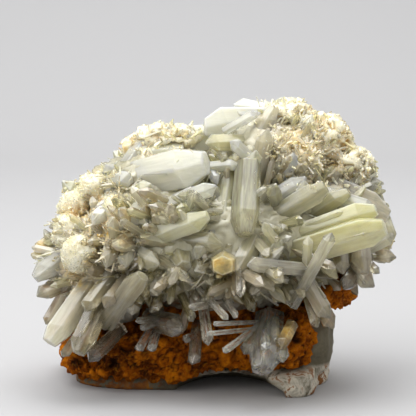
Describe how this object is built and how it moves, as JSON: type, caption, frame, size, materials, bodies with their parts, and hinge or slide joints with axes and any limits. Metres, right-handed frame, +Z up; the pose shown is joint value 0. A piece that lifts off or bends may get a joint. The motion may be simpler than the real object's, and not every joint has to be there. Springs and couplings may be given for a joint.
{
  "type": "mango quartz cluster",
  "caption": "Natural cluster of milky yellow-white quartz crystals that radiate from a rusty limonite crust on a grey-green host rock, standing on its flat underside.",
  "frame": {"origin": "middle of the underside of the cluster's box, on the surface that it stands on", "axes": "+Z up, +X to the right as seen from the front, the front looks along -Y"},
  "size_m": [0.182, 0.1134, 0.1429],
  "materials": {
    "milky_quartz": "translucent milky crystal faces, glossy, yellow tint",
    "clear_quartz": "clear to smoky crystal faces, glossy",
    "limonite": "matte rusty crust with dark pits",
    "grey_green_rock": "matte broken stone with a cream rind"
  },
  "bodies": {
    "root": {"quartz_cluster": "milky_quartz", "stubby_front_crystals": "clear_quartz", "smoky_wedge_crystals": "clear_quartz", "brown_tip_crystals": "clear_quartz", "limonite_crust": "limonite", "host_rock": "grey_green_rock"}
  },
  "joints": []
}
